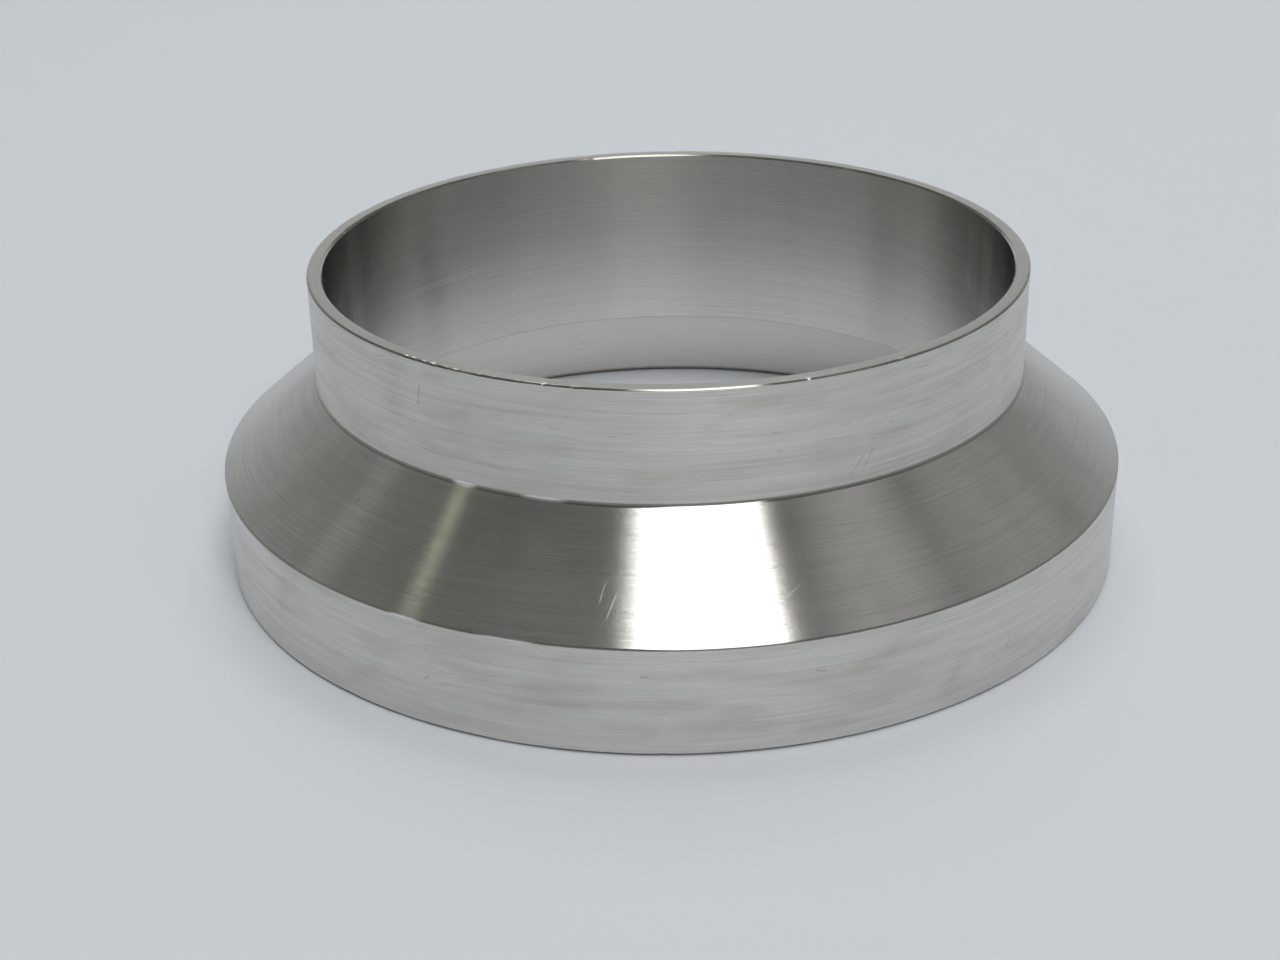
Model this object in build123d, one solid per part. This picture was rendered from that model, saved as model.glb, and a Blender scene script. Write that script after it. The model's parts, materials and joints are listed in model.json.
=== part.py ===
"""Heavy clamp ferrule for 4 inch sanitary tubing, turned from one piece of stainless steel.

The ferrule stands on its sealing end, with the weld neck up. Its axis is +Z, and the origin is the
middle of the bottom face. From the bottom it has a plain cylindrical rim, a conical shoulder that the
clamp's halves pull on, and a thin neck the size of the tube. A straight bore runs down from the neck and
opens into a conical seat, which takes the nose of the mating ferrule. A small ledge at the top of the
seat carries the gasket.
"""

import math
import os

from build123d import *

# Neck: it butts against the tube, so it has the tube's own section.
tube_od = 101.6
tube_wall = 2.11
neck_length = 15.4

# Shoulder and rim
rim_od = 129.8
rim_height = 14.9
shoulder_angle = 40.5  # degrees up from the plane of the bottom face

# Seat for the mating ferrule's nose
sealing_face_width = 6.0  # flat ring at the bottom, between the seat's mouth and the rim
seat_depth = 13.9
gasket_ledge = 0.4  # width of the flat ring between the bore and the seat's cone

# Edge breaks, each the leg of a 45 degree chamfer
weld_edge_break = 0.2
bore_edge_break = 0.28
rim_foot_break = 0.4
seat_mouth_break = 0.3

# Radii that the turning tool leaves
shoulder_root_radius = 0.65
shoulder_rim_radius = 0.35


def shoulder_rise():
    """Height of the conical shoulder, from the rim up to the neck."""
    return (rim_od - tube_od) / 2 * math.tan(math.radians(shoulder_angle))


def half_section():
    """The ferrule's wall, cut by the XZ plane on the +X side of the axis."""
    rim_radius = rim_od / 2
    neck_radius = tube_od / 2
    bore_radius = neck_radius - tube_wall
    neck_root = rim_height + shoulder_rise()
    top = neck_root + neck_length

    seat_mouth = (rim_radius - sealing_face_width, 0)
    rim_foot = (rim_radius, 0)
    rim_top = (rim_radius, rim_height)
    shoulder_root = (neck_radius, neck_root)
    neck_edge = (neck_radius, top)
    bore_edge = (bore_radius, top)
    bore_foot = (bore_radius, seat_depth)
    seat_top = (bore_radius + gasket_ledge, seat_depth)
    outline = Polyline(
        seat_mouth,
        rim_foot,
        rim_top,
        shoulder_root,
        neck_edge,
        bore_edge,
        bore_foot,
        seat_top,
        close=True,
    )
    section = make_face(outline.edges())

    for corner, radius in ((rim_top, shoulder_rim_radius), (shoulder_root, shoulder_root_radius)):
        section = fillet(corner_of(section, corner), radius)
    for corner, leg in (
        (seat_mouth, seat_mouth_break),
        (rim_foot, rim_foot_break),
        (neck_edge, weld_edge_break),
        (bore_edge, bore_edge_break),
    ):
        section = chamfer(corner_of(section, corner), leg)
    return section


def corner_of(section, point):
    """The corner of a flat section that lies at the given point."""
    return section.vertices().sort_by_distance((*point, 0))[0]


def ferrule():
    """The whole ring: the half section stood up in the XZ plane and turned about the axis."""
    return revolve(Plane.XZ * half_section(), Axis.Z, 360)


os.makedirs("parts", exist_ok=True)
ring = ferrule()
ring.label = "ferrule"
export_step(ring, "parts/ferrule.step")
print("volume", round(ring.volume, 1), "height", round(ring.bounding_box().size.Z, 3))
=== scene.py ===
"""Looks of the heavy clamp ferrule: one turned ring of stainless steel, standing on its sealing end.

The ring is a lathe mesh. Its section follows the CAD node's sizes, with small rounds on every edge and the
little nicks that handling leaves. Each turned surface has its own finish: the faced weld end, the neck, the
polished clamp shoulder, the rim, the bore and the seat.
"""

import json
import math
import random

import bpy
import numpy as np
from mathutils import Matrix, Vector


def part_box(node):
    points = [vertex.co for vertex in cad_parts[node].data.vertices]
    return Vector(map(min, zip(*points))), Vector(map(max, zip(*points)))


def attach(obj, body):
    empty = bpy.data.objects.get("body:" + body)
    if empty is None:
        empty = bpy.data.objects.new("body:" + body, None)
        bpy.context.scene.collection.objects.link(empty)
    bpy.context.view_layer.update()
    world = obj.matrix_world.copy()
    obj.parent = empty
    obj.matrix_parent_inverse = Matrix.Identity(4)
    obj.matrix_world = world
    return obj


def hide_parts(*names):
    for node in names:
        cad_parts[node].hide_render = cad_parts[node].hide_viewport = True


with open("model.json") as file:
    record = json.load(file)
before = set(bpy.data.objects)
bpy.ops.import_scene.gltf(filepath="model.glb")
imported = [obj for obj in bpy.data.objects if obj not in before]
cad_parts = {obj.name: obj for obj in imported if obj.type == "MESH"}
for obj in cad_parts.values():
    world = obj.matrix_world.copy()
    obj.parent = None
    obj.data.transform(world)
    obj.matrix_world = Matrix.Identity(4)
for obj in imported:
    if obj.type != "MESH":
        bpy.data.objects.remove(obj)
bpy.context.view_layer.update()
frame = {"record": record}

MM = 0.001
NODE = "ferrule"


# ---------------------------------------------------------------- sizes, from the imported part
def mount(name):
    """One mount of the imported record."""
    return next(m for m in frame["record"]["mounts"] if m["name"] == name)


def mount_ends(name):
    """Lowest and highest height of a round mount's wall."""
    middle = mount(name)["pos_m"][2]
    half = mount(name)["dims"]["length_mm"] * MM / 2
    return middle - half, middle + half


def cone_radius(name, height):
    """Radius of a conical mount's surface at a height."""
    place, normal = mount(name)["pos_m"], mount(name)["axis"]
    return place[0] - (height - place[2]) * normal[2] / normal[0]


def cone_height(name, radius):
    """Height of a conical mount's surface at a radius."""
    place, normal = mount(name)["pos_m"], mount(name)["axis"]
    return place[2] - (radius - place[0]) * normal[0] / normal[2]


box_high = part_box(NODE)[1]
HEIGHT = box_high.z
RIM_RADIUS = box_high.y
NECK_RADIUS = mount("neck")["dims"]["r_mm"] * MM
BORE_RADIUS = mount("bore")["dims"]["r_mm"] * MM
RIM_TOP = cone_height("clamp_shoulder", RIM_RADIUS)
NECK_ROOT = cone_height("clamp_shoulder", NECK_RADIUS)
SEAT_TOP = mount_ends("bore")[0]
SEAT_TOP_RADIUS = cone_radius("conical_seat", SEAT_TOP)
SEAT_MOUTH_RADIUS = cone_radius("conical_seat", 0)

WELD_BREAK = HEIGHT - mount_ends("neck")[1]
BORE_BREAK = HEIGHT - mount_ends("bore")[1]
FOOT_BREAK = mount_ends("rim")[0]
MOUTH_BREAK = 0.3 * MM
ROOT_FILLET = 0.65 * MM
SHOULDER_FILLET = 0.35 * MM
CRISP = 0.07 * MM  # round left on an edge that looks sharp

SEGMENTS = 1200  # steps round the axis
CRISP_STEPS = 3  # steps over the round of a sharp edge
FILLET_STEPS = 8
FLAT_STEPS = 3  # steps over a long straight stretch
LONG_STRETCH = 1.5 * MM


def toward(azimuth, elevation):
    """Unit vector at an azimuth from the front, turning right, and an elevation, both in degrees."""
    a, e = math.radians(azimuth), math.radians(elevation)
    return Vector((math.sin(a) * math.cos(e), -math.cos(a) * math.cos(e), math.sin(e)))


# ---------------------------------------------------------------- the ring's section
def section_corners():
    """The wall's corners in order, from the seat's mouth: place, round and the surface that follows."""
    mouth_slope = (SEAT_MOUTH_RADIUS - SEAT_TOP_RADIUS) / SEAT_TOP
    return [
        (SEAT_MOUTH_RADIUS + MOUTH_BREAK, 0, CRISP, "seat"),
        (RIM_RADIUS - FOOT_BREAK, 0, CRISP, "edge"),
        (RIM_RADIUS, FOOT_BREAK, CRISP, "rim"),
        (RIM_RADIUS, RIM_TOP, SHOULDER_FILLET, "shoulder"),
        (NECK_RADIUS, NECK_ROOT, ROOT_FILLET, "neck"),
        (NECK_RADIUS, HEIGHT - WELD_BREAK, CRISP, "edge"),
        (NECK_RADIUS - WELD_BREAK, HEIGHT, CRISP, "weld_face"),
        (BORE_RADIUS + BORE_BREAK, HEIGHT, CRISP, "edge"),
        (BORE_RADIUS, HEIGHT - BORE_BREAK, CRISP, "bore"),
        (BORE_RADIUS, SEAT_TOP, CRISP, "bore"),
        (SEAT_TOP_RADIUS, SEAT_TOP, CRISP, "seat"),
        (SEAT_MOUTH_RADIUS - MOUTH_BREAK * mouth_slope, MOUTH_BREAK, CRISP, "edge"),
    ]


def rounded_corner(before, corner, after, radius):
    """Points of the arc that rounds one corner of the section, in order."""
    corner = Vector(corner)
    toward_before = (Vector(before) - corner).normalized()
    toward_after = (Vector(after) - corner).normalized()
    half_angle = toward_before.angle(toward_after) / 2
    run = radius / math.tan(half_angle)
    centre = corner + (toward_before + toward_after).normalized() * radius / math.sin(half_angle)
    start = corner + toward_before * run - centre
    end = corner + toward_after * run - centre
    steps = CRISP_STEPS if radius == CRISP else FILLET_STEPS
    turn = start.angle_signed(end)
    return [centre + Matrix.Rotation(-turn * k / steps, 2) @ start for k in range(steps + 1)]


def section():
    """Points round the section, and the surface that each stretch from one point to the next belongs to."""
    corners = section_corners()
    points, surfaces = [], []
    for k, (radius, height, rounding, surface) in enumerate(corners):
        before = corners[k - 1][:2]
        after = corners[(k + 1) % len(corners)][:2]
        arc = rounded_corner(before, (radius, height), after, rounding)
        points += arc
        surfaces += ["round"] * (len(arc) - 1) + [surface]
    return points, surfaces


def with_flat_steps(points, surfaces):
    """The section with its long straight stretches split, so that the surface can carry small dents."""
    fine_points, fine_surfaces = [], []
    for k, point in enumerate(points):
        after = points[(k + 1) % len(points)]
        steps = FLAT_STEPS if (after - point).length > LONG_STRETCH else 1
        for step in range(steps):
            fine_points.append(point.lerp(after, step / steps))
            fine_surfaces.append(surfaces[k])
    return fine_points, fine_surfaces


def arc_lengths(points):
    """Distance along the section at each point, and all round it."""
    steps = [(points[(k + 1) % len(points)] - p).length for k, p in enumerate(points)]
    return np.concatenate(([0], np.cumsum(steps)))


# ---------------------------------------------------------------- nicks on the edges
# Nicks at the front of the weld edge: azimuth in degrees from the front, width and depth in mm
WELD_NICKS = (
    (-40, 0.5, 0.24),
    (-38.6, 0.8, 0.20),
    (-36.5, 0.5, 0.18),
    (-34.8, 0.9, 0.24),
    (-32.5, 0.5, 0.14),
    (-30.8, 0.7, 0.16),
    (-27, 0.4, 0.12),
    (-24.5, 0.5, 0.10),
    (-21, 0.4, 0.12),
    (-17, 0.5, 0.10),
    (19, 0.7, 0.10),
    (34, 0.9, 0.12),
)

# Scattered nicks: radius and height of the edge, how many, and the depth of the deepest in mm
SCATTERED_NICKS = (
    (NECK_RADIUS, HEIGHT, 26, 0.09),
    (BORE_RADIUS, HEIGHT, 18, 0.07),
    (RIM_RADIUS, RIM_TOP, 16, 0.05),
    (RIM_RADIUS, 0, 22, 0.10),
)
NICK_WIDTHS = (0.4, 1.3)  # mm
NICK_DEPTHS = (0.3, 1)  # as shares of the deepest
NICK_REACH = 0.45 * MM  # how far a nick spreads over the section
NICK_SLANT = 0.7  # share of a nick's depth that goes along each of radius and height


def bell(distance, width):
    """A smooth hill of height 1, for dents."""
    return np.exp(-((distance / width) ** 2))


def angle_between(angles, centre):
    """Angles measured from a centre, wrapped to within half a turn of it."""
    return (angles - centre + math.pi) % (2 * math.pi) - math.pi


def nicks():
    """Handling nicks: azimuth in degrees from the front, edge radius, edge height, width and depth in mm."""
    found = [(azimuth, NECK_RADIUS, HEIGHT, width, depth) for azimuth, width, depth in WELD_NICKS]
    draw = random.Random(11)
    for edge_radius, edge_height, count, deepest in SCATTERED_NICKS:
        for _ in range(count):
            azimuth = draw.uniform(-180, 180)
            width = draw.uniform(*NICK_WIDTHS)
            depth = draw.uniform(*NICK_DEPTHS) * deepest
            found.append((azimuth, edge_radius, edge_height, width, depth))
    return found


def dented(radii, heights, angles):
    """Radii and heights of the lathe's grid of points, with the nicks pressed in."""
    middle = Vector(((NECK_RADIUS + BORE_RADIUS) / 2, HEIGHT / 2))
    for azimuth, edge_radius, edge_height, width, depth in nicks():
        along = angle_between(angles, math.radians(azimuth)) * edge_radius
        across = np.hypot(radii - edge_radius, heights - edge_height)
        push = bell(along, width * MM / 2)[None, :] * bell(across, NICK_REACH) * depth * MM
        away = Vector((edge_radius, edge_height)) - middle
        radii = radii - push * math.copysign(NICK_SLANT, away.x)
        heights = heights - push * math.copysign(NICK_SLANT, away.y)
    return radii, heights


# ---------------------------------------------------------------- the ring
def lathe_grid(points):
    """Coordinates of the turned surface: one row per section point, one column per step round the axis."""
    angles = np.arange(SEGMENTS) * 2 * math.pi / SEGMENTS - math.pi
    radii = np.repeat([[p.x] for p in points], SEGMENTS, axis=1)
    heights = np.repeat([[p.y] for p in points], SEGMENTS, axis=1)
    radii, heights = dented(radii, heights, angles)
    return np.stack((radii * np.sin(angles), -radii * np.cos(angles), heights), axis=-1)


def lathe_mesh(points):
    """The turned surface, with a UV map of azimuth and distance along the section."""
    rows = len(points)
    row, column = np.meshgrid(np.arange(rows), np.arange(SEGMENTS), indexing="ij")
    next_row, next_column = (row + 1) % rows, (column + 1) % SEGMENTS
    corners = ((row, column), (row, next_column), (next_row, next_column), (next_row, column))
    faces = np.stack([r * SEGMENTS + c for r, c in corners], axis=-1).reshape(-1, 4)
    mesh = bpy.data.meshes.new("ring")
    mesh.from_pydata(lathe_grid(points).reshape(-1, 3).tolist(), [], faces.tolist())

    lengths = arc_lengths(points)
    u = np.stack((column, column + 1, column + 1, column), axis=-1) / SEGMENTS
    v = np.stack((lengths[row], lengths[row], lengths[row + 1], lengths[row + 1]), axis=-1) / lengths[-1]
    uv_map = mesh.uv_layers.new(name="turned")
    uv_map.uv.foreach_set("vector", np.stack((u, v), axis=-1).ravel())
    return mesh


def make_ring(points, surfaces, materials):
    """The turned ring, with one material per surface."""
    mesh = lathe_mesh(points)
    for material in materials.values():
        mesh.materials.append(material)
    names = list(materials)
    index = np.array([names.index(surface) for surface in surfaces])
    mesh.polygons.foreach_set("material_index", np.repeat(index, SEGMENTS))
    mesh.shade_smooth()
    mesh.update()

    ring = bpy.data.objects.new("ferrule_ring", mesh)
    bpy.context.scene.collection.objects.link(ring)
    weighted = ring.modifiers.new("even_shading", "WEIGHTED_NORMAL")
    weighted.mode = "FACE_AREA"
    weighted.weight = 100
    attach(ring, "root")
    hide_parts(NODE)


# ---------------------------------------------------------------- shader helpers
def is_socket(value):
    """Whether a value is an output of another node."""
    return isinstance(value, bpy.types.NodeSocket)


def fill_inputs(tree, node, inputs):
    """Sets a node's inputs. Each is a value, or a socket to link from."""
    for name, value in inputs.items():
        if is_socket(value):
            tree.links.new(value, node.inputs[name])
        else:
            node.inputs[name].default_value = value


def add_node(tree, kind, inputs=None, **settings):
    """A node with its settings and inputs."""
    made = tree.nodes.new(kind)
    for name, value in settings.items():
        setattr(made, name, value)
    fill_inputs(tree, made, inputs or {})
    return made


def coordinates(tree, kind):
    """Texture coordinates: Object in metres, UV round the section, or Generated for a direction."""
    return add_node(tree, "ShaderNodeTexCoord").outputs[kind]


def parts_of(tree, vector):
    """The X, Y and Z of a vector."""
    return add_node(tree, "ShaderNodeSeparateXYZ", {0: vector}).outputs


def vector_of(tree, x, y, z=0.0):
    """A vector made of numbers or sockets."""
    return add_node(tree, "ShaderNodeCombineXYZ", {"X": x, "Y": y, "Z": z}).outputs[0]


def maths(tree, operation, *values, clamp=False):
    """Result of one sum on numbers or sockets."""
    inputs = dict(enumerate(values))
    return add_node(tree, "ShaderNodeMath", inputs, operation=operation, use_clamp=clamp).outputs[0]


def vector_maths(tree, operation, *values):
    """Result of one vector sum."""
    made = add_node(tree, "ShaderNodeVectorMath", dict(enumerate(values)), operation=operation)
    return made.outputs["Value" if operation in ("DOT_PRODUCT", "DISTANCE") else "Vector"]


def scaled(tree, vector, scale):
    """A vector times a number."""
    made = add_node(tree, "ShaderNodeVectorMath", {0: vector, "Scale": scale}, operation="SCALE")
    return made.outputs["Vector"]


def ramp(tree, value, low, high, from_low=0.0, from_high=1.0):
    """A value mapped smoothly from one range to another, and held at its ends."""
    made = add_node(
        tree,
        "ShaderNodeMapRange",
        {"Value": value, "From Min": from_low, "From Max": from_high, "To Min": low, "To Max": high},
        interpolation_type="SMOOTHSTEP",
    )
    return made.outputs["Result"]


def rgba(colour):
    """A colour with full alpha. A socket stays as it is."""
    return colour if is_socket(colour) else (*colour, 1)


MIX_FACTOR, MIX_FIRST, MIX_SECOND = 0, 6, 7  # inputs of a mix node that mixes colours
MIX_RESULT = 2


def blended(tree, colour, other, mask, amount):
    """A colour taken part of the way to another where a mask is 1."""
    factor = maths(tree, "MULTIPLY", mask, amount)
    inputs = {MIX_FACTOR: factor, MIX_FIRST: rgba(colour), MIX_SECOND: rgba(other)}
    return add_node(tree, "ShaderNodeMix", inputs, data_type="RGBA").outputs[MIX_RESULT]


def new_group(name, inputs, outputs):
    """An empty shader node group with named sockets: the tree, its inputs and its output node."""
    tree = bpy.data.node_groups.new(name, "ShaderNodeTree")
    for socket, (kind, default) in inputs.items():
        made = tree.interface.new_socket(socket, in_out="INPUT", socket_type="NodeSocket" + kind)
        if default is not None:
            made.default_value = default
    for socket, kind in outputs.items():
        tree.interface.new_socket(socket, in_out="OUTPUT", socket_type="NodeSocket" + kind)
    return tree, tree.nodes.new("NodeGroupInput").outputs, tree.nodes.new("NodeGroupOutput")


def use_group(tree, group, inputs):
    """A group node in a material."""
    made = tree.nodes.new("ShaderNodeGroup")
    made.node_tree = group
    fill_inputs(tree, made, inputs)
    return made


# ---------------------------------------------------------------- what the surfaces carry
def turning_marks():
    """Fine lines that run round the axis, as a turning tool and a polishing cloth leave them."""
    tree, given, result = new_group(
        "turning_marks",
        {"Pitch": ("Float", 0.2), "Length": ("Float", 40.0), "Section Length": ("Float", 0.2)},
        {"Height": "Float"},
    )
    place = parts_of(tree, coordinates(tree, "Object"))
    run = maths(tree, "MULTIPLY", given["Length"], MM)
    pitch = maths(tree, "MULTIPLY", given["Pitch"], MM)
    share = parts_of(tree, coordinates(tree, "UV"))["Y"]
    along_section = maths(tree, "MULTIPLY", share, given["Section Length"])
    stretched = vector_of(
        tree,
        maths(tree, "DIVIDE", place["X"], run),
        maths(tree, "DIVIDE", place["Y"], run),
        maths(tree, "DIVIDE", along_section, pitch),
    )
    noise = add_node(
        tree,
        "ShaderNodeTexNoise",
        {"Vector": stretched, "Scale": 1.0, "Detail": 3.0, "Roughness": 0.65},
    )
    tree.links.new(noise.outputs["Fac"], result.inputs["Height"])
    return tree


PATCH_LEVELS = (0.45, 0.67)  # noise where a patch starts and where it is full


def patches():
    """Cloudy patches with soft edges, of a width and a height in mm."""
    tree, given, result = new_group(
        "patches",
        {"Width": ("Float", 12.0), "Height": ("Float", 6.0), "Seed": ("Float", 0.0)},
        {"Mask": "Float"},
    )
    size = vector_of(tree, given["Width"], given["Width"], given["Height"])
    stretched = scaled(tree, vector_maths(tree, "DIVIDE", coordinates(tree, "Object"), size), 1 / MM)
    noise = add_node(
        tree,
        "ShaderNodeTexNoise",
        {"Vector": stretched, "W": given["Seed"], "Scale": 1.0, "Detail": 2.5, "Roughness": 0.5},
        noise_dimensions="4D",
    )
    tree.links.new(ramp(tree, noise.outputs["Fac"], 0.0, 1.0, *PATCH_LEVELS), result.inputs["Mask"])
    return tree


SMALLEST_PIT = 0.4  # as a share of the radius that the group is given


def pits():
    """Small scattered dark specks and dents, with their spacing and radius in mm."""
    tree, given, result = new_group(
        "pits",
        {"Spacing": ("Float", 2.5), "Radius": ("Float", 0.12), "Share": ("Float", 0.25)},
        {"Mask": "Float"},
    )
    cells = add_node(
        tree,
        "ShaderNodeTexVoronoi",
        {
            "Vector": coordinates(tree, "Object"),
            "Scale": maths(tree, "DIVIDE", 1 / MM, given["Spacing"]),
            "Randomness": 1.0,
        },
    )
    chance = add_node(tree, "ShaderNodeSeparateColor", {0: cells.outputs["Color"]}).outputs
    chosen = maths(tree, "LESS_THAN", chance["Red"], given["Share"])
    radius = maths(tree, "MULTIPLY", given["Radius"], maths(tree, "ADD", chance["Green"], SMALLEST_PIT))
    reach = maths(tree, "DIVIDE", radius, given["Spacing"])
    away = maths(tree, "DIVIDE", cells.outputs["Distance"], reach)
    inside = maths(tree, "SUBTRACT", 1.0, away, clamp=True)
    tree.links.new(maths(tree, "MULTIPLY", inside, chosen), result.inputs["Mask"])
    return tree


HAIRLINE_LEVEL = 0.9  # noise where a hairline starts when none are wanted
HAIRLINE_SPREAD = 0.3  # how much lower it starts when all are wanted
HAIRLINE_EDGE = 0.06


def hairlines():
    """Short fine scratches in mm that all lean one way, at an angle from the turning marks in degrees."""
    tree, given, result = new_group(
        "hairlines",
        {
            "Lean": ("Float", 30.0),
            "Length": ("Float", 6.0),
            "Spacing": ("Float", 0.5),
            "Share": ("Float", 0.3),
            "Round Length": ("Float", 0.4),
            "Section Length": ("Float", 0.2),
        },
        {"Mask": "Float"},
    )
    share = parts_of(tree, coordinates(tree, "UV"))
    along = maths(tree, "MULTIPLY", share["X"], maths(tree, "DIVIDE", given["Round Length"], MM))
    across = maths(tree, "MULTIPLY", share["Y"], maths(tree, "DIVIDE", given["Section Length"], MM))
    leaning = add_node(
        tree,
        "ShaderNodeVectorRotate",
        {"Vector": vector_of(tree, along, across), "Angle": maths(tree, "RADIANS", given["Lean"])},
        rotation_type="Z_AXIS",
    )
    size = vector_of(tree, given["Length"], given["Spacing"], 1.0)
    stretched = vector_maths(tree, "DIVIDE", leaning.outputs["Vector"], size)
    noise = add_node(
        tree,
        "ShaderNodeTexNoise",
        {"Vector": stretched, "Scale": 1.0, "Detail": 0.0},
        noise_dimensions="2D",
    )
    start = maths(tree, "MULTIPLY_ADD", given["Share"], -HAIRLINE_SPREAD, HAIRLINE_LEVEL)
    end = maths(tree, "ADD", start, HAIRLINE_EDGE)
    levels = {"Value": noise.outputs["Fac"], "From Min": start, "From Max": end}
    soft = add_node(tree, "ShaderNodeMapRange", levels)
    tree.links.new(soft.outputs["Result"], result.inputs["Mask"])
    return tree


def scratch():
    """One straight scratch between two places, in millimetres."""
    tree, given, result = new_group(
        "scratch",
        {"Start": ("Vector", None), "End": ("Vector", None), "Width": ("Float", 0.1)},
        {"Mask": "Float"},
    )
    place = scaled(tree, coordinates(tree, "Object"), 1 / MM)
    run = vector_maths(tree, "SUBTRACT", given["End"], given["Start"])
    offset = vector_maths(tree, "SUBTRACT", place, given["Start"])
    covered = vector_maths(tree, "DOT_PRODUCT", offset, run)
    whole = vector_maths(tree, "DOT_PRODUCT", run, run)
    share = maths(tree, "DIVIDE", covered, whole, clamp=True)
    distance = vector_maths(tree, "DISTANCE", offset, scaled(tree, run, share))
    away = maths(tree, "DIVIDE", distance, given["Width"])
    tree.links.new(maths(tree, "SUBTRACT", 1.0, away, clamp=True), result.inputs["Mask"])
    return tree


# ---------------------------------------------------------------- marks at chosen places
# Scratches: surface, azimuth from the front, height, length, tilt and width, in degrees and mm
SCRATCHES = (
    ("shoulder", 12.8, 21.2, 2.2, 8, 0.035),
    ("shoulder", 15.5, 21.0, 1.8, -4, 0.035),
    ("shoulder", 14.0, 19.0, 2.4, 24, 0.03),
    ("shoulder", -8.0, 19.5, 1.6, 75, 0.03),
    ("shoulder", -6.8, 18.4, 2.2, 66, 0.03),
    ("shoulder", -46.0, 22.5, 0.7, 60, 0.14),
    ("neck", 24.0, 33.8, 16.0, 3, 0.12),
    ("neck", 20.0, 35.6, 10.0, -2, 0.10),
    ("neck", -3.0, 38.6, 20.0, 1.5, 0.10),
    ("neck", -12.0, 36.4, 8.0, -4, 0.10),
    ("neck", 27.0, 29.4, 3.0, 50, 0.10),
    ("neck", 29.0, 30.2, 2.4, 62, 0.10),
    ("neck", -38.0, 37.6, 2.6, 80, 0.16),
    ("edge", -39.0, 42.25, 2.4, 0, 0.30),
    ("edge", -35.6, 42.25, 1.0, 0, 0.25),
    ("edge", -33.6, 42.25, 1.4, 0, 0.25),
    ("edge", -26.5, 42.25, 0.5, 0, 0.20),
    ("edge", -21.5, 42.25, 0.4, 0, 0.20),
    ("rim", -28.0, 7.0, 0.8, 35, 0.14),
    ("rim", 16.0, 10.4, 1.2, -10, 0.16),
    ("rim", -3.0, 11.2, 0.9, 5, 0.16),
    ("rim", 41.0, 6.0, 1.6, 60, 0.12),
)

# Soft smudges, given in the same way
SMUDGES = (
    ("neck", -43.0, 37.5, 5.0, 80, 3.5),
    ("neck", -35.0, 40.6, 2.6, 2, 1.3),
    ("neck", -33.0, 36.0, 6.0, 12, 2.0),
    ("neck", -20.0, 33.5, 9.0, 4, 2.6),
    ("neck", 2.0, 30.5, 12.0, 1, 3.2),
    ("neck", 11.0, 40.2, 7.0, -3, 1.4),
    ("neck", 33.0, 32.6, 5.0, 6, 2.3),
    ("neck", 50.0, 36.0, 8.0, 3, 2.0),
    ("rim", -52.0, 9.0, 3.0, 70, 2.9),
    ("rim", -37.0, 4.5, 5.0, 30, 2.9),
    ("rim", -12.0, 9.5, 7.0, 5, 2.6),
    ("rim", 6.0, 4.0, 9.0, -4, 3.2),
    ("rim", 22.0, 10.5, 5.0, 8, 2.3),
    ("rim", 33.0, 5.0, 4.0, 55, 2.6),
    ("bore", 230.0, 26.0, 4.0, 70, 4.3),
    ("bore", 233.0, 32.0, 3.0, 60, 3.5),
)


def on_ring(surface, azimuth, height):
    """The place on a surface at an azimuth in degrees and a height in mm, in mm."""
    radius = {
        "shoulder": cone_radius("clamp_shoulder", height * MM),
        "neck": NECK_RADIUS,
        "rim": RIM_RADIUS,
        "bore": BORE_RADIUS,
        "edge": NECK_RADIUS - WELD_BREAK / 2,
    }[surface] / MM
    return toward(azimuth, 0) * radius + Vector((0, 0, height))


def mark_ends(surface, azimuth, height, length, tilt):
    """Both ends of a scratch or smudge, laid on its surface."""
    radius = on_ring(surface, azimuth, height).xy.length
    along = math.degrees(length * math.cos(math.radians(tilt)) / radius) / 2
    rise = length * math.sin(math.radians(tilt)) / 2
    return on_ring(surface, azimuth - along, height - rise), on_ring(surface, azimuth + along, height + rise)


def mark_mask(tree, groups, surface, marks):
    """All the scratches or smudges of one surface as one mask."""
    mask = 0.0
    for place, azimuth, height, length, tilt, width in marks:
        if place != surface:
            continue
        start, end = mark_ends(surface, azimuth, height, length, tilt)
        one = use_group(tree, groups["scratch"], {"Start": start, "End": end, "Width": width})
        mask = maths(tree, "MAXIMUM", mask, one.outputs["Mask"])
    return mask


# ---------------------------------------------------------------- the steel
STEEL = (0.58, 0.565, 0.54)
BRIGHT_STEEL = (0.75, 0.73, 0.70)
WELD_STEEL = (0.50, 0.495, 0.485)
BORE_STEEL = (0.58, 0.57, 0.53)
# Paler than the steel: the colour of painted reflections and glints, and of the seat's painted brightness
PAINTED_LIGHT_STEEL = (0.88, 0.85, 0.82)
# Painted shade: rounds and chamfers darker than the steel, standing in for the dark room they mirror
PAINTED_EDGE_SHADE = (0.27, 0.265, 0.24)
STAIN = (0.40, 0.36, 0.32)
# Dark dirt of the marks, and also the colour of painted shade: bore sides, seat's foot, neck's root
GRIME_AND_SHADE = (0.12, 0.11, 0.10)

# How strongly each mark covers the colour
SMUDGE_COVER = 0.34
HAIRLINE_COVER = 0.15
SPECK_COVER = 0.8
SCRATCH_COVER = 0.45

# How deep each mark lies, in mm
SPECK_DEPTH = 0.03
SCRATCH_DEPTH = 0.0025
HAIRLINE_DEPTH = 0.0008
BROAD_DEPTH = 1.5  # as a multiple of the fine marks' depth

GRAIN_LEVELS = (0.36, 0.66)  # height of the fine marks where the grain starts and is full
SMEAR_LEVELS = (0.48, 0.75)
SMUDGE_LEVELS = (0.0, 0.85)
FLOOR_REFLECTION_HEIGHTS = (SEAT_TOP, SEAT_TOP + 20 * MM)  # heights between which the bore's painted reflection of the table fades out
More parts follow.
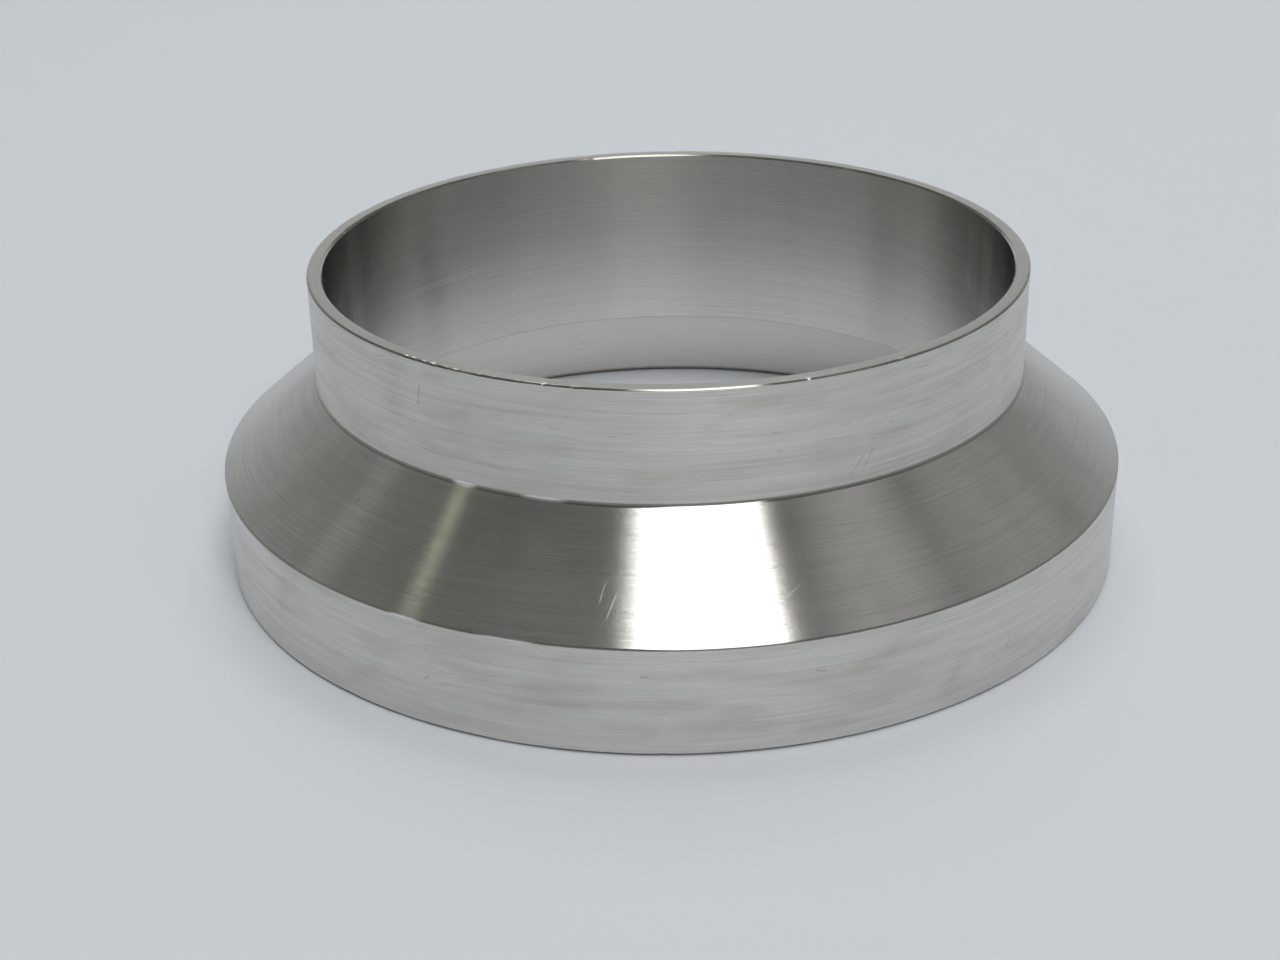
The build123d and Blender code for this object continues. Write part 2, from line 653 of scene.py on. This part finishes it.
# Heights between which the painted contact shadow at the seat's foot fades out
CONTACT_SHADOW_HEIGHTS = (0.3 * MM, 1.1 * MM)
ROOT_LINE = (NECK_ROOT - 0.02 * MM, NECK_ROOT + 0.1 * MM)  # lowest and highest height of the root's dirt and painted shade
ROOT_FADE = 0.14 * MM
ROOT_GAPS = 0.7  # how far clouds lighten the root's dirt and painted shade
HAIRLINE_SPACING = 0.22  # mm
QUARTER_TURN = 0.25  # turns the anisotropy so that highlights lie across the turning marks


def object_height(tree):
    """Height above the table."""
    return parts_of(tree, coordinates(tree, "Object"))["Z"]


def band(tree, low, high, fade):
    """1 between two heights and 0 beyond them, with a soft change."""
    height = object_height(tree)
    above = ramp(tree, height, 0.0, 1.0, low - fade, low)
    below = ramp(tree, height, 1.0, 0.0, high, high + fade)
    return maths(tree, "MULTIPLY", above, below)


def round_band(tree, azimuth, width):
    """1 at an azimuth from the front, fading to 0 on both sides, in degrees, at every height."""
    level = vector_maths(tree, "MULTIPLY", coordinates(tree, "Object"), (1, 1, 0))
    outwards = vector_maths(tree, "NORMALIZE", level)
    closeness = vector_maths(tree, "DOT_PRODUCT", outwards, toward(azimuth, 0))
    return ramp(tree, closeness, 0.0, 1.0, math.cos(math.radians(width)), 1.0)


def wear_masks(tree, groups, surface, section_length, finish):
    """Masks of everything that breaks up a finish."""

    def marks(pitch, run):
        inputs = {"Pitch": pitch, "Length": run, "Section Length": section_length}
        return use_group(tree, groups["turning_marks"], inputs).outputs["Height"]

    def patch(width, height, shift):
        inputs = {"Width": width, "Height": height, "Seed": finish["seed"] + shift}
        return use_group(tree, groups["patches"], inputs).outputs["Mask"]

    def hairline(lean, length):
        inputs = {
            "Lean": lean,
            "Length": length,
            "Spacing": HAIRLINE_SPACING,
            "Share": finish["hairlines"],
            "Round Length": 2 * math.pi * NECK_RADIUS,
            "Section Length": section_length,
        }
        return use_group(tree, groups["hairlines"], inputs).outputs["Mask"]

    fine = marks(finish["pitch"], finish["run"])
    clouds = patch(18.0, 10.0, 3.0)
    smudges = maths(tree, "MULTIPLY", mark_mask(tree, groups, surface, SMUDGES), fine)
    # Dark line at the neck's root: partly dirt, partly painted shade in the crease
    root = band(tree, *ROOT_LINE, ROOT_FADE)
    return {
        "fine": fine,
        "grain": ramp(tree, fine, 0.0, 1.0, *GRAIN_LEVELS),
        "broad": marks(finish["pitch"] * 4, finish["run"] * 1.6),
        "smears": ramp(tree, marks(0.8, 30.0), 0.0, 1.0, *SMEAR_LEVELS),
        "clouds": clouds,
        "blotches": patch(11.0, 3.0, 2.0),
        "bands": patch(9.0, 900.0, 4.0),
        "specks": use_group(tree, groups["pits"], {"Share": finish["pits"]}).outputs["Mask"],
        "hairlines": maths(tree, "MAXIMUM", hairline(7.0, 9.0), hairline(-16.0, 6.0)),
        "scratches": mark_mask(tree, groups, surface, SCRATCHES),
        "smudges": ramp(tree, smudges, 0.0, 1.0, *SMUDGE_LEVELS),
        "root": maths(tree, "MULTIPLY", root, maths(tree, "MULTIPLY_ADD", clouds, -ROOT_GAPS, 1.0)),
    }


def colour_with_painted_light(tree, finish):
    """Colour of the clean metal with painted light: painted reflections, glints and shade at some azimuths,
    a painted reflection towards the bore's foot and a painted contact shadow at the seat's foot.
    """
    colour = finish["colour"]
    # Painted reflections and glints where the amount is above 0, painted shade where it is below 0
    for azimuth, width, amount in finish["tones"]:
        other = GRIME_AND_SHADE if amount < 0 else PAINTED_LIGHT_STEEL
        colour = blended(tree, colour, other, round_band(tree, azimuth, width), abs(amount))
    for amount, other, heights in (
        (finish["pale_foot"], PAINTED_LIGHT_STEEL, FLOOR_REFLECTION_HEIGHTS),
        (finish["dark_foot"], GRIME_AND_SHADE, CONTACT_SHADOW_HEIGHTS),
    ):
        foot = ramp(tree, object_height(tree), 1.0, 0.0, *heights)
        colour = blended(tree, colour, other, foot, amount)
    return colour


def worn_and_shaded_colour(tree, colour, masks, finish):
    """A colour covered by its marks, stains and dirt, and by the painted shade at the neck's root, one over
    the other.
    """
    for mask, amount, other in (
        ("grain", finish["grain"], GRIME_AND_SHADE),
        ("smears", finish["smears"], STAIN),
        ("blotches", finish["blotches"], STAIN),
        ("smudges", SMUDGE_COVER, STAIN),
        ("broad", finish["lines"], GRIME_AND_SHADE),
        ("bands", finish["bands"], GRIME_AND_SHADE),
        ("hairlines", HAIRLINE_COVER, GRIME_AND_SHADE),
        ("root", finish["grime"], GRIME_AND_SHADE),
        ("specks", SPECK_COVER, GRIME_AND_SHADE),
        ("scratches", SCRATCH_COVER, GRIME_AND_SHADE),
    ):
        colour = blended(tree, colour, other, masks[mask], amount)
    return colour


def uneven_roughness(tree, masks, finish):
    """Roughness that changes with soft clouds and with the turning marks."""
    cloudy = maths(tree, "MULTIPLY_ADD", masks["clouds"], finish["rough_clouds"], finish["roughness"])
    return maths(tree, "MULTIPLY_ADD", masks["fine"], finish["rough_marks"], cloudy)


def marked_normal(tree, masks, finish):
    """Normal that follows the turning marks, and the marks that lie below them."""
    height = maths(tree, "MULTIPLY", masks["fine"], finish["depth"])
    for mask, depth in (
        ("broad", finish["depth"] * BROAD_DEPTH),
        ("specks", -SPECK_DEPTH),
        ("scratches", -SCRATCH_DEPTH),
        ("hairlines", -HAIRLINE_DEPTH),
    ):
        height = maths(tree, "MULTIPLY_ADD", masks[mask], depth, height)
    bump = add_node(tree, "ShaderNodeBump", {"Height": height, "Strength": 1.0, "Distance": MM})
    return bump.outputs["Normal"]


def steel(surface, groups, section_length, finish):
    """One finish of the turned steel."""
    material = bpy.data.materials.new("steel_" + surface)
    material.use_nodes = True
    tree = material.node_tree
    masks = wear_masks(tree, groups, surface, section_length, finish)
    tangent = add_node(tree, "ShaderNodeTangent", direction_type="RADIAL", axis="Z")
    inputs = {
        "Base Color": worn_and_shaded_colour(tree, colour_with_painted_light(tree, finish), masks, finish),
        "Metallic": 1.0,
        "Roughness": uneven_roughness(tree, masks, finish),
        "Normal": marked_normal(tree, masks, finish),
        "Tangent": tangent.outputs["Tangent"],
        "Anisotropic": finish["anisotropy"],
        "Anisotropic Rotation": QUARTER_TURN,
    }
    fill_inputs(tree, tree.nodes["Principled BSDF"], inputs)
    return material


# A plain satin finish. Pitch, run and depth are the turning marks' spacing, length and depth in mm. Each
# painted tone is an azimuth and a width in degrees and an amount: a painted reflection or glint above 0,
# painted shade below 0. Other amounts are 0 to 1
PLAIN = {
    "colour": STEEL,
    "roughness": 0.33,
    "anisotropy": 0.6,
    "pitch": 0.22,
    "run": 45.0,
    "depth": 0.006,
    "rough_marks": 0.06,
    "rough_clouds": 0.05,
    "grain": 0.0,
    "lines": 0.10,
    "bands": 0.0,
    "smears": 0.0,
    "blotches": 0.0,
    "hairlines": 0.25,
    "pits": 0.03,
    "grime": 0.0,
    "tones": (),
    "pale_foot": 0.0,
    "dark_foot": 0.0,
}
BRUSHED = {"colour": BRIGHT_STEEL, "pitch": 0.17, "run": 22.0}
# Rounds and chamfers: glossy, with a dark colour that is a painted dark reflection
POLISHED_EDGE = {"colour": PAINTED_EDGE_SHADE, "anisotropy": 0.9, "depth": 0.0005, "lines": 0.0, "pits": 0.0}

# What sets each surface's finish apart from the plain one
OWN_FINISHES = {
    "shoulder": {
        "roughness": 0.20,
        "anisotropy": 0.95,
        "pitch": 0.15,
        "run": 25.0,
        "depth": 0.004,
        "rough_marks": 0.03,
        "rough_clouds": 0.0,
        "grain": 0.15,
        "lines": 0.18,
        "bands": 0.10,
        "hairlines": 0.3,
        "pits": 0.015,
        "grime": 0.8,
    },
    "neck": {
        **BRUSHED,
        "depth": 0.010,
        "grain": 0.12,
        "lines": 0.24,
        "smears": 0.26,
        "blotches": 0.2,
        "pits": 0.06,
        "grime": 0.8,
    },
    "rim": {
        **BRUSHED,
        "depth": 0.009,
        "grain": 0.11,
        "lines": 0.2,
        "smears": 0.24,
        "blotches": 0.22,
        "pits": 0.08,
    },
    "weld_face": {
        "colour": WELD_STEEL,
        "roughness": 0.32,
        "anisotropy": 0.2,
        "pitch": 0.12,
        "run": 25.0,
        "depth": 0.002,
        "grain": 0.15,
        "blotches": 0.15,
    },
    "bore": {
        "colour": BORE_STEEL,
        "roughness": 0.22,
        "anisotropy": 0.9,
        "pitch": 0.3,
        "depth": 0.002,
        "rough_marks": 0.03,
        "rough_clouds": 0.0,
        "grain": 0.09,
        "lines": 0.05,
        "bands": 0.08,
        "pits": 0.01,
        # Painted reflections: paler stripes round the bore where it mirrors lamps and room; painted shade:
        # darker at both sides where it mirrors itself
        "tones": (
            (180, 34, 0.16),
            (146, 10, 0.42),
            (160, 10, 0.2),
            (-160, 8, 0.1),
            (-145, 18, 0.4),
            (92, 34, -0.68),
            (-92, 34, -0.68),
            (103, 3, 0.14),
            (109, 3, 0.1),
            (-105, 4, 0.16),
        ),
        # Painted reflection: the bore paler towards its foot, where it mirrors the table
        "pale_foot": 0.62,
    },
    "seat": {
        # The seat's pale colour is a painted reflection of the table below it
        "colour": PAINTED_LIGHT_STEEL,
        "roughness": 0.5,
        "anisotropy": 0.3,
        "depth": 0.003,
        # Painted contact shadow: the seat darker at its foot, where it meets the table
        "dark_foot": 0.75,
    },
    "edge": {**POLISHED_EDGE, "roughness": 0.17},
    "round": {
        **POLISHED_EDGE,
        "roughness": 0.12,
        "rough_clouds": 0.0,
        # Painted glints on the rounds, where they would mirror the thin lamp at the left
        "tones": ((-30.5, 2.5, 0.9), (-18, 4, 0.8)),
    },
}
SEED_STEP = 10.0  # keeps the surfaces' patches apart


def make_materials(section_length):
    """One material per surface of the ring."""
    groups = {
        "turning_marks": turning_marks(),
        "patches": patches(),
        "pits": pits(),
        "hairlines": hairlines(),
        "scratch": scratch(),
    }
    materials = {}
    for k, (surface, own) in enumerate(OWN_FINISHES.items()):
        finish = {**PLAIN, **own, "seed": k * SEED_STEP}
        materials[surface] = steel(surface, groups, section_length, finish)
    return materials


# ---------------------------------------------------------------- table, light and camera
TABLE_COLOUR = (0.61, 0.64, 0.68)
TABLE_HALF = 2.5


def make_table():
    """A plain pale table top."""
    corners = [(x * TABLE_HALF, y * TABLE_HALF, 0) for x, y in ((-1, -1), (1, -1), (1, 1), (-1, 1))]
    mesh = bpy.data.meshes.new("table")
    mesh.from_pydata(corners, [], [(0, 1, 2, 3)])
    material = bpy.data.materials.new("table_paint")
    material.use_nodes = True
    shader = material.node_tree.nodes["Principled BSDF"]
    shader.inputs["Base Color"].default_value = rgba(TABLE_COLOUR)
    shader.inputs["Roughness"].default_value = 0.7
    shader.inputs["Specular IOR Level"].default_value = 0.2
    mesh.materials.append(material)
    table = bpy.data.objects.new("table", mesh)
    bpy.context.scene.collection.objects.link(table)


# The room's colour from the horizon to straight up, at the upward part of the direction
ROOM = (
    (0.0, (0.55, 0.57, 0.59)),
    (0.3, (0.37, 0.38, 0.37)),
    (0.58, (0.25, 0.255, 0.245)),
    (0.82, (0.17, 0.175, 0.17)),
    (1.0, (0.19, 0.195, 0.19)),
)


def make_room():
    """Soft light of the room: pale walls near the horizon and a darker ceiling."""
    world = bpy.data.worlds.new("room")
    bpy.context.scene.world = world
    world.use_nodes = True
    tree = world.node_tree
    upward = parts_of(tree, coordinates(tree, "Generated"))["Z"]
    colours = add_node(tree, "ShaderNodeValToRGB", {0: upward})
    stops = colours.color_ramp.elements
    horizon, *between, zenith = ROOM
    for stop, (position, colour) in zip(stops, (horizon, zenith)):
        stop.position = position
        stop.color = rgba(colour)
    for position, colour in between:
        stops.new(position).color = rgba(colour)
    tree.links.new(colours.outputs["Color"], tree.nodes["Background"].inputs["Color"])


def make_lamp(name, azimuth, elevation, width, depth, level, colour=(1, 1, 1), distance=3.0):
    """A flat lamp that faces the ring. Its level is the brightness of its face, where white paper is 1."""
    light = bpy.data.lights.new(name, "AREA")
    light.shape = "RECTANGLE"
    light.size = width
    light.size_y = depth
    light.energy = level * math.pi * width * depth
    light.color = colour
    lamp = bpy.data.objects.new(name, light)
    back = toward(azimuth, elevation)
    lamp.location = Vector((0, 0, HEIGHT / 2)) + back * distance
    lamp.rotation_euler = back.to_track_quat("Z", "Y").to_euler()
    lamp.visible_camera = False
    bpy.context.scene.collection.objects.link(lamp)


def make_lights():
    """A bright lamp above the front, two behind, a thin one at the left and faint ones at both sides."""
    make_lamp("overhead", 14.9, 56, 1.33, 2.5, 5.2)
    make_lamp("ceiling", 180, 62, 1.0, 0.9, 2.6, distance=1.6)
    make_lamp("back_wall", 180, 10, 3.0, 0.8, 0.5)
    make_lamp("left_strip", -88, 50, 0.025, 0.16, 17.0, colour=(0.93, 1, 0.7))
    make_lamp("left_wall", -108, 35, 0.16, 0.5, 0.38)
    make_lamp("right_wall", 74, 53, 1.2, 0.9, 0.42)
    make_lamp("right_side", 104, 36, 1.6, 1.2, 0.16)


CAMERA_DISTANCE = 262.6 * MM
CAMERA_HEIGHT = 131.9 * MM
CAMERA_PITCH = 25.57  # degrees below the horizon
CAMERA_YAW = -0.99
CAMERA_ROLL = -1.18
LENS = 54.5
SENSOR = 36.0


def make_camera():
    """The camera, in front of the ring and above it."""
    data = bpy.data.cameras.new("camera")
    data.lens = LENS
    data.sensor_width = SENSOR
    data.clip_start = 0.01
    data.clip_end = 10
    camera = bpy.data.objects.new("camera", data)
    yaw, pitch, roll = (math.radians(a) for a in (CAMERA_YAW, CAMERA_PITCH, CAMERA_ROLL))
    forward = Vector((math.sin(yaw) * math.cos(pitch), math.cos(yaw) * math.cos(pitch), -math.sin(pitch)))
    right = Vector((math.cos(yaw), -math.sin(yaw), 0))
    up = right.cross(forward)
    side = right * math.cos(roll) + up * math.sin(roll)
    top = up * math.cos(roll) - right * math.sin(roll)
    turn = Matrix((side, top, -forward)).transposed().to_4x4()
    camera.matrix_world = Matrix.Translation((0, -CAMERA_DISTANCE, CAMERA_HEIGHT)) @ turn
    bpy.context.scene.collection.objects.link(camera)
    bpy.context.scene.camera = camera


# ---------------------------------------------------------------- everything
def build():
    """The whole scene."""
    points, surfaces = with_flat_steps(*section())
    materials = make_materials(section_length=arc_lengths(points)[-1])
    make_ring(points, surfaces, materials)
    make_table()
    make_room()
    make_lights()
    make_camera()
    bpy.context.scene.view_settings.view_transform = "Standard"


build()
